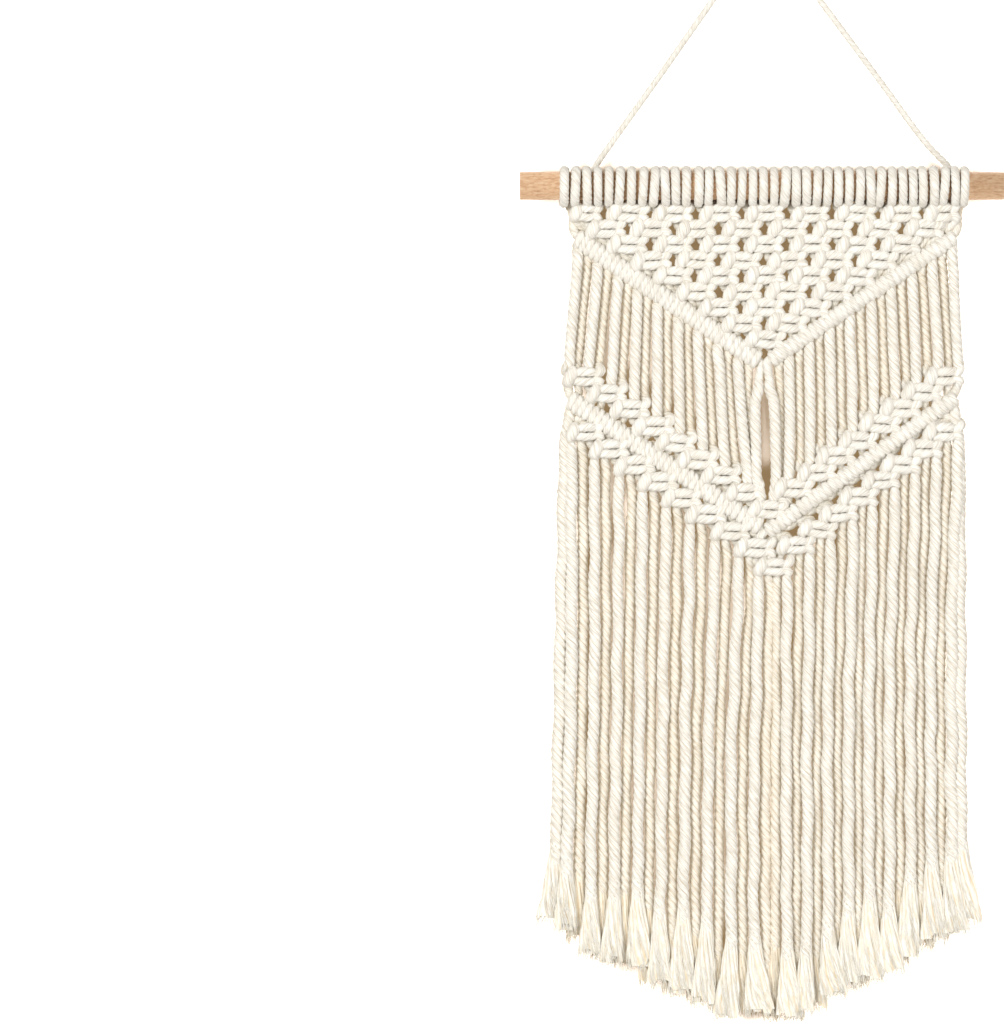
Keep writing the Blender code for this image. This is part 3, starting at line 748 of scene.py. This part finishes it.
fringe = {
    "pitch": {-1: 4.82, 1: 4.4},
    "middleX": 3.0,
    "below": 5.0,  # the first row lies this far below the knots' ends
    "freeBelow": 15.0,  # and the cords sway from here on
    "evenBelow": 95.0,  # they leave their knots straight down and are evenly spread from here on
    "edgeEvenBelow": 15.0,
    "edgeShare": 0.2,  # the edge cords have gone this share of their way at the first row
    "rowStep": 9.0,
    "stagger": 1.5,
    "frontRadius": 2.48,
    "backRadius": 2.4,
    "outerFatter": 0.27,  # the three outermost cords are thicker by this
    "outerPlaces": 3,
    "edgeForward": 0.3,  # the edge cords hang this far in front of the middle plane
    "edgeIn": 0.4,  # and this far in
    "leftBackIn": 0.7,  # the back cords of the left side leave their knots this far to the right
    "looseness": 0.25,
    "swell": 0.1,  # the radius grows by this towards the tips
    "swayX": (0.35, 5.5),  # how far, and the height of a wave over 2 pi
    "swayY": (0.25, 8.0),
    "tipsZ": [  # x and z along the line of the tips
        (-93.0, -419.0), (-70.6, -438.5), (-44.8, -452.0), (-27.6, -460.0), (-10.4, -466.0), (14.0, -466.0),
        (24.0, -459.5), (41.0, -452.0), (54.0, -446.0), (62.0, -440.0), (79.0, -430.0), (89.0, -422.5),
    ],
    "tuft": 35.0,  # length of the opened part
    "tuftLength": (0.8, 1.2),  # and the shares of it between which it varies
    "frontFlare": (3.0, 5.2),  # how much wider a tuft gets to each side
    "backFlare": (1.8, 3.2),
    # painted shade: the tufts that hang behind are tinted warmer, and the front ones stay nearly white
    "frontLitTone": 0.95,
    "backShadedTone": 0.35,
    "spread": {-1: 1.04, 1: 1.01},  # the cords hang this many times further out at their tips
    "tuftSide": {-1: 1.0, 1: 0.4},  # the tufts lean outward, those on the right less
    "halfWidth": 88,  # where they lean as much as that
}
tufts = []


def tipZ(x):
    outs, heights = zip(*fringe["tipsZ"])
    return float(np.interp(x, outs, heights))


def layFringeCord(side, place, number):
    edge = place == 1  # the edge cord comes straight from the bar and hangs beside the others
    front = edge or place % 2 == 0
    x = side * (pattern["ends"] / 2 + 0.5 - place) * fringe["pitch"][side] + fringe["middleX"]
    if edge:
        depth = panelY - fringe["edgeForward"]
        x -= side * fringe["edgeIn"]
    else:
        depth = panelY + fringe["stagger"] * (-1 if front else 1)
    radius = fringe["frontRadius"] if front else fringe["backRadius"]
    radius += fringe["outerFatter"] * (place <= fringe["outerPlaces"])
    tip = tipZ(x) + rng.normal(0, uneven["tip"])
    length = fringe["tuft"] * rng.uniform(*fringe["tuftLength"])
    topX, _, topZ = strands[number][-1][:3]
    topX += fringe["leftBackIn"] * (side < 0 and not front)
    firstX = topX + (x - topX) * fringe["edgeShare"] * edge
    rows = [(firstX, depth, topZ - fringe["below"], radius, fringe["looseness"])]
    phaseX, phaseY = rng.uniform(0, 6.28, 2)
    swayX, waveX = fringe["swayX"]
    swayY, waveY = fringe["swayY"]
    startZ, endZ = topZ - fringe["freeBelow"], tip + length
    evenBelow = fringe["edgeEvenBelow"] if edge else fringe["evenBelow"]
    steps = int((startZ - endZ) / fringe["rowStep"])
    for k in range(steps + 1):
        share = k / steps
        z = startZ + (endZ - startZ) * share
        drift = 1 + (fringe["spread"][side] - 1) * share
        even = min(1.0, (topZ - z) / evenBelow)
        even *= even * (3 - 2 * even)
        rowX = (topX + (x - topX) * even) * drift + swayX * math.sin(z / waveX + phaseX)
        rows.append((
            rowX + rng.normal(0, uneven["fringeX"]),
            depth + swayY * math.sin(z / waveY + phaseY),
            z,
            radius + fringe["swell"] * share + rng.normal(0, uneven["fringeRadius"]),
            fringe["looseness"] + (1 - fringe["looseness"]) * share,
        ))
    lastX, lastY = rows[-1][:2]
    rows.append((lastX, lastY, endZ - 6.0, radius + 0.2, 1.0))
    rows.append((lastX, lastY, endZ - 10.0, radius - 0.5, 1.0))
    strands[number].extend(rows)
    tufts.append({
        "x": lastX,
        "y": lastY,
        "z": endZ,
        "length": length,
        "side": x / fringe["halfWidth"] * fringe["tuftSide"][side],
        "lean": rng.normal(0, uneven["tuftLean"]),
        "flare": rng.uniform(*fringe["frontFlare" if front else "backFlare"]),
        "turn": rng.uniform(0, 6.28),
        "radius": radius,
        "tone": fringe["frontLitTone" if front else "backShadedTone"],
    })


for side in (-1, 1):
    for place, number in enumerate(hanging[side], 1):
        layFringeCord(side, place, number)
print("fringe laid")


opened = {
    "rings": 15,
    "pointsAround": 54,
    "yarns": 11,  # ribs round the opened body
    "inside": 0.3,  # the body starts this much thinner than its cord
    "outward": 2.0,  # how far the tips of the outermost tufts lean out
    "drawnIn": 0.15,  # the tips gather by this share,
    "thinned": 0.9,  # and get flatter by this one,
    "tipHalf": 0.08,  # down to this half depth
    "ribDepth": 0.25,
    "swirl": 1.9,  # radians that the yarns wind round over the tuft's length
    "shortest": 0.9,  # yarn, as a share of the longest
    "crimp": 0.45,
    # the body's ribs read as low crests, so painted warm shade fills the hollows between the yarns
    "bodyCrest": 0.45,
    "bodyRadius": 2.6,  # for the fibres drawn on the body
    "fibres": 54,
    "fibreSteps": 8,
    "fibreRadius": 0.26,  # much thicker than real fibres, which would be too fine to show
    "fibreTip": 0.1,
    "fibreCrimp": 0.4,
    "fibreCrest": 0.9,  # fibres are pale, like the top of a ply
    "fibreShift": 3.7,  # from one to the next, in the cotton's pattern
}


def tuftSpread(tuft, share):
    # half the tuft's width and depth and its middle, from where the cord opens (0) to its tips (1)
    radius = tuft["radius"] - opened["inside"]
    across = (radius + tuft["flare"] * share ** 1.2) * (1 - opened["drawnIn"] * share ** 4)
    through = radius * (1 - opened["thinned"] * np.clip(share, 0, 1) ** 3) + opened["tipHalf"]
    x = tuft["x"] + (tuft["lean"] + tuft["side"] * opened["outward"]) * share ** 1.6
    return across, through, x


def tuftCore(tuft):
    # the opened yarns as one ribbed, widening body with ragged tips
    rings, count, yarns = opened["rings"], opened["pointsAround"], opened["yarns"]
    share = np.linspace(0, 1, rings)[:, None]
    around = np.arange(count)[None, :] / count * 2 * math.pi
    across, through, x = tuftSpread(tuft, share)
    yarn = np.floor(around / (2 * math.pi) * yarns)
    ends = rng.uniform(opened["shortest"], 1.0, yarns)[yarn.astype(int)]
    swirl = around + tuft["turn"] + opened["swirl"] * share ** 0.7
    rib = np.abs(np.sin(around * yarns / 2))
    ribs = 1 - opened["ribDepth"] + opened["ribDepth"] * rib
    ribs = ribs + rng.normal(0, uneven["rib"], (1, count)) * np.minimum(1, share * 3)
    crimp = opened["crimp"] * share * np.sin(share * 13 + np.sin(around * 3 + tuft["turn"]) * 2)
    points = np.stack(
        [
            x + across * ribs ** (1 - share) * np.cos(swirl) + crimp,
            tuft["y"] + through * ribs * np.sin(swirl),
            np.broadcast_to(tuft["z"] + 1 - (tuft["length"] + 1) * share * ends, ribs.shape),
        ],
        axis=2,
    )
    own = np.broadcast_to(around * opened["bodyRadius"], ribs.shape)
    along = np.broadcast_to(tuft["length"] * share + tuft["z"], ribs.shape)
    return {
        "points": points.reshape(-1, 3),
        "quads": ringQuads(rings, count)[:, ::-1],
        "straight": np.stack([own, own * 0.3, along], axis=2).reshape(-1, 3),
        "crest": np.broadcast_to(opened["bodyCrest"] * rib, ribs.shape).reshape(-1),
        "tone": np.full(rings * count, tuft["tone"]),
    }


def tuftFibres(tuft):
    # loose fibres over the core and past its tips
    share = np.linspace(0, 1, opened["fibreSteps"])
    paths = []
    for _ in range(opened["fibres"]):
        start = rng.uniform(0.1, 0.75)
        down = start + (rng.uniform(0.92, 1.08) - start) * share
        across, through, middle = tuftSpread(tuft, down)
        spin = rng.uniform(0, 6.28) + 1.2 * share
        reach = rng.uniform(0.8, 0.95) + rng.uniform(-0.1, 0.2) * share
        crimp = opened["fibreCrimp"] * share * np.sin(share * 9 + rng.uniform(0, 6.28))
        x = middle + across * reach * np.cos(spin) + crimp
        y = tuft["y"] + through * reach * np.sin(spin)
        z = tuft["z"] - tuft["length"] * down
        paths.append(np.stack([x, y, z], axis=1))
    return paths


def fibreTubes(paths, tone):
    # three-sided hairs that all hang much the same way, so one reference direction serves for their frames
    centres = np.array(paths)
    count, steps = centres.shape[:2]
    ahead = np.gradient(centres, axis=1)
    ahead /= np.linalg.norm(ahead, axis=2)[:, :, None]
    side = np.cross(ahead, (0.0, 1.0, 0.0))
    side /= np.linalg.norm(side, axis=2)[:, :, None]
    front = np.cross(ahead, side)
    radius = np.linspace(opened["fibreRadius"], opened["fibreTip"], steps)[None, :, None, None]
    angles = np.radians([30, 150, 270])  # one face forward
    ring = side[:, :, None, :] * np.cos(angles)[None, None, :, None]
    ring = ring + front[:, :, None, :] * np.sin(angles)[None, None, :, None]
    points = centres[:, :, None, :] + radius * ring
    quads = ringQuads(steps, 3)[None, :, :] + np.arange(count)[:, None, None] * steps * 3
    along = np.broadcast_to(-centres[:, :, None, 2], points.shape[:3])
    own = np.broadcast_to(np.arange(count)[:, None, None] * opened["fibreShift"], points.shape[:3])
    total = count * steps * 3
    return {
        "points": points.reshape(-1, 3),
        "quads": quads.reshape(-1, 4),
        "straight": np.stack([own, own, along], axis=3).reshape(-1, 3),
        "crest": np.full(total, opened["fibreCrest"]),
        "tone": np.full(total, tone),
    }


groups = {
    "leftCords": range(1, 8),
    "midLeftCords": range(8, 14),
    "innerLeftCords": range(14, 20),
    "innerRightCords": range(20, 26),
    "midRightCords": range(26, 32),
    "rightCords": range(32, 39),
}
for name, numbers in groups.items():
    tubes = [twistedTube(strands[number], rope, float(rng.uniform(0, 1))) for number in numbers]
    piece = meshPiece(name, tubes, cotton)
    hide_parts("knotted_panel", "fringe")
for name, some in (("leftTufts", tufts[:innermost]), ("rightTufts", tufts[innermost:])):
    tubes = [tuftCore(tuft) for tuft in some]
    tubes += [fibreTubes(tuftFibres(tuft), tuft["tone"]) for tuft in some]
    piece = meshPiece(name, tubes, openedCotton)


# The dowel

rod = {
    "sides": 72,
    "easedEdge": 0.8,
    "edgeSteps": 5,
    "endRing": 0.4,  # rings of the flat ends lie this far from the axis and from the eased edge
    "grainScale": (350.0, 1200.0, 1200.0),  # grain 0.8 mm wide and 3 mm long, drawn coarse so that it shows
    "roughness": 0.6,
}


def makeDowelWood():
    # sanded beech, unvarnished: pale, with fine grain along the rod and short dark flecks
    material, tree, shader = newMaterial("sandedBeech")
    place = addNode(tree, "ShaderNodeTexCoord")
    grainPlace = addNode(
        tree, "ShaderNodeMapping", {"Vector": place.outputs["Object"], "Scale": rod["grainScale"]}
    )
    grain = addNode(
        tree,
        "ShaderNodeTexNoise",
        {
            "Vector": grainPlace.outputs["Vector"],
            "Scale": 1.0,
            "Detail": 4.0,
            "Roughness": 0.6,
            "Distortion": 0.4,
        },
    )
    colour = addNode(
        tree,
        "ShaderNodeValToRGB",
        {"Fac": grain.outputs["Fac"]},
        stops=[(0.3, "#C79975"), (0.5, "#E4BB94"), (0.7, "#F0D4B3")],
    )
    bump = addNode(
        tree, "ShaderNodeBump", {"Height": grain.outputs["Fac"], "Strength": 0.2, "Distance": 0.0002}
    )
    tree.links.new(colour.outputs["Color"], shader.inputs["Base Color"])
    tree.links.new(bump.outputs["Normal"], shader.inputs["Normal"])
    shader.inputs["Roughness"].default_value = rod["roughness"]
    return material


def dowelOutline():
    # x and radius, from the middle of the left end over its eased edge, and the same at the right end
    start, end = dowelEnds
    edge = rod["easedEdge"]
    outline = [(start, rod["endRing"]), (start, dowelRadius - edge - rod["endRing"])]
    for k in range(rod["edgeSteps"] + 1):
        turn = k / rod["edgeSteps"] * math.pi / 2
        radius = dowelRadius - edge * (1 - math.cos(math.pi / 2 - turn))
        outline.append((start + edge * (1 - math.sin(turn)), radius))
    return outline + [(start + end - x, radius) for x, radius in outline[::-1]]


def makeDowel():
    outline, sides = dowelOutline(), rod["sides"]
    points = []
    for x, radius in outline:
        for k in range(sides):
            turn = k / sides * 2 * math.pi
            points.append((x * mm, radius * math.cos(turn) * mm, (dowelZ + radius * math.sin(turn)) * mm))
    faces = ringQuads(len(outline), sides).tolist()
    faces.append(range(sides)[::-1])
    faces.append(range(len(points) - sides, len(points)))
    mesh = bpy.data.meshes.new("dowelRod")
    mesh.from_pydata(points, [], faces)
    mesh.update()
    for polygon in mesh.polygons:
        polygon.use_smooth = True
    dowelRod = addObject("dowelRod", mesh)
    dowelRod.data.materials.append(makeDowelWood())
    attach(dowelRod, "root")
    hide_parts("dowel")
    print("dowelRod ready")


makeDowel()


# The studio: a pale wall behind the hanging, soft light from the front, and a wash of its own on the wall

studio = {
    "wallY": 0.0155,
    "wallHalfWidth": 0.6,
    "wallBottom": -0.9,
    "wallTop": 0.4,
    "wallColour": "#B59F80",
    "wallRoughness": 0.95,
    "floorZ": -1.6,
    "floorHalf": 30,
    "floorColour": "#F2F0EC",
    "floorRoughness": 0.9,
    "floorPower": 1.3,
    "floorSunAngle": 0.5,
    "shadeColour": "#FDF7EE",  # soft light from all round, a little warm, fills the shade between the cords
    "shadeStrength": 0.61,
    "aim": (0.0, 0.0, -0.26),
}
# lights for everything but the wall
objectLights = {
    "key": {"place": (-1.25, -1.95, 0.4), "size": 0.8, "power": 41, "colour": "#FFFFFD"},
    "fill": {"place": (1.25, -1.75, -0.85), "size": 1.6, "power": 24.5, "colour": "#FFFFFF"},
    "back": {"place": (0.4, 2.4, 0.3), "size": 1.6, "power": 40, "colour": "#FFFFFF"},
}
# the wall's own wash: cool, to bring its warm paint to white
wallLights = {
    "washLeft": {"place": (-1.25, -1.75, -0.25), "size": 0.7, "power": 320, "colour": "#C0D0F4"},
    "washRight": {"place": (1.25, -1.75, -0.25), "size": 0.7, "power": 320, "colour": "#C0D0F4"},
}


def areaLight(name, settings, lit):
    data = bpy.data.lights.new(name, "AREA")
    data.shape = "RECTANGLE"
    data.size = settings["size"]
    data.size_y = settings["size"]
    data.energy = settings["power"]
    data.color = linear(settings["colour"])[:3]
    light = addObject(name, data)
    light.location = settings["place"]
    towards = Vector(studio["aim"]) - Vector(settings["place"])
    light.rotation_euler = towards.to_track_quat("-Z", "Y").to_euler()
    light.light_linking.receiver_collection = lit


def floorSun(lit):
    # straight down, and on the floor alone
    data = bpy.data.lights.new("floorWash", "SUN")
    data.energy = studio["floorPower"]
    data.angle = studio["floorSunAngle"]
    sun = addObject("floorWash", data)
    sun.light_linking.receiver_collection = lit


def plainSheet(name, corners, material):
    # seen, but it neither shades nor tints the hanging
    mesh = bpy.data.meshes.new(name)
    mesh.from_pydata(corners, [], [(0, 1, 2, 3)])
    sheet = addObject(name, mesh)
    sheet.data.materials.append(material)
    sheet.visible_shadow = False
    sheet.visible_diffuse = False
    return sheet


def makeWallPaint():
    # matt emulsion, warm pale; the wall has no back, so that other views see the hanging from behind
    material, tree, shader = newMaterial("wallPaint")
    shader.inputs["Base Color"].default_value = linear(studio["wallColour"])
    shader.inputs["Roughness"].default_value = studio["wallRoughness"]
    sides = addNode(tree, "ShaderNodeNewGeometry")
    clear = addNode(tree, "ShaderNodeBsdfTransparent")
    mixed = addNode(
        tree,
        "ShaderNodeMixShader",
        {0: sides.outputs["Backfacing"], 1: shader.outputs["BSDF"], 2: clear.outputs["BSDF"]},
    )
    tree.links.new(mixed.outputs["Shader"], tree.nodes["Material Output"].inputs["Surface"])
    return material


def makeFloorPaint():
    # matt pale paint, the same from every side
    material, _, shader = newMaterial("floorPaint")
    shader.inputs["Base Color"].default_value = linear(studio["floorColour"])
    shader.inputs["Roughness"].default_value = studio["floorRoughness"]
    return material


def makeSurroundings():
    # white to the camera, and a soft shade of light to the hanging
    world = bpy.data.worlds.new("studio")
    world.use_nodes = True
    tree = world.node_tree
    shade = tree.nodes["Background"]
    shade.inputs["Color"].default_value = linear(studio["shadeColour"])
    shade.inputs["Strength"].default_value = studio["shadeStrength"]
    paper = addNode(tree, "ShaderNodeBackground", {"Color": linear("#FFFFFF"), "Strength": 1.0})
    seen = addNode(tree, "ShaderNodeLightPath")
    both = addNode(
        tree,
        "ShaderNodeMixShader",
        {0: seen.outputs["Is Camera Ray"], 1: shade.outputs["Background"], 2: paper.outputs["Background"]},
    )
    tree.links.new(both.outputs["Shader"], tree.nodes["World Output"].inputs["Surface"])
    bpy.context.scene.world = world


def lightGroup(name, sheet):
    # what a light is linked to
    group = bpy.data.collections.new(name)
    group.objects.link(sheet)
    return group


def makeStudio():
    makeSurroundings()
    half, y = studio["wallHalfWidth"], studio["wallY"]
    low, high = studio["wallBottom"], studio["wallTop"]
    corners = [(-half, y, low), (half, y, low), (half, y, high), (-half, y, high)]
    wall = plainSheet("wall", corners, makeWallPaint())
    half, z = studio["floorHalf"], studio["floorZ"]
    corners = [(-half, -half, z), (half, -half, z), (half, half, z), (-half, half, z)]
    floor = plainSheet("floor", corners, makeFloorPaint())
    wallOnly = lightGroup("wallOnly", wall)
    floorOnly = lightGroup("floorOnly", floor)
    notWall = lightGroup("notWall", wall)
    notWall.collection_objects[0].light_linking.link_state = "EXCLUDE"
    for name, settings in objectLights.items():
        areaLight(name, settings, notWall)
    for name, settings in wallLights.items():
        areaLight(name, settings, wallOnly)
    floorSun(floorOnly)


makeStudio()
bpy.context.scene.view_settings.view_transform = "Standard"
print("studio ready")
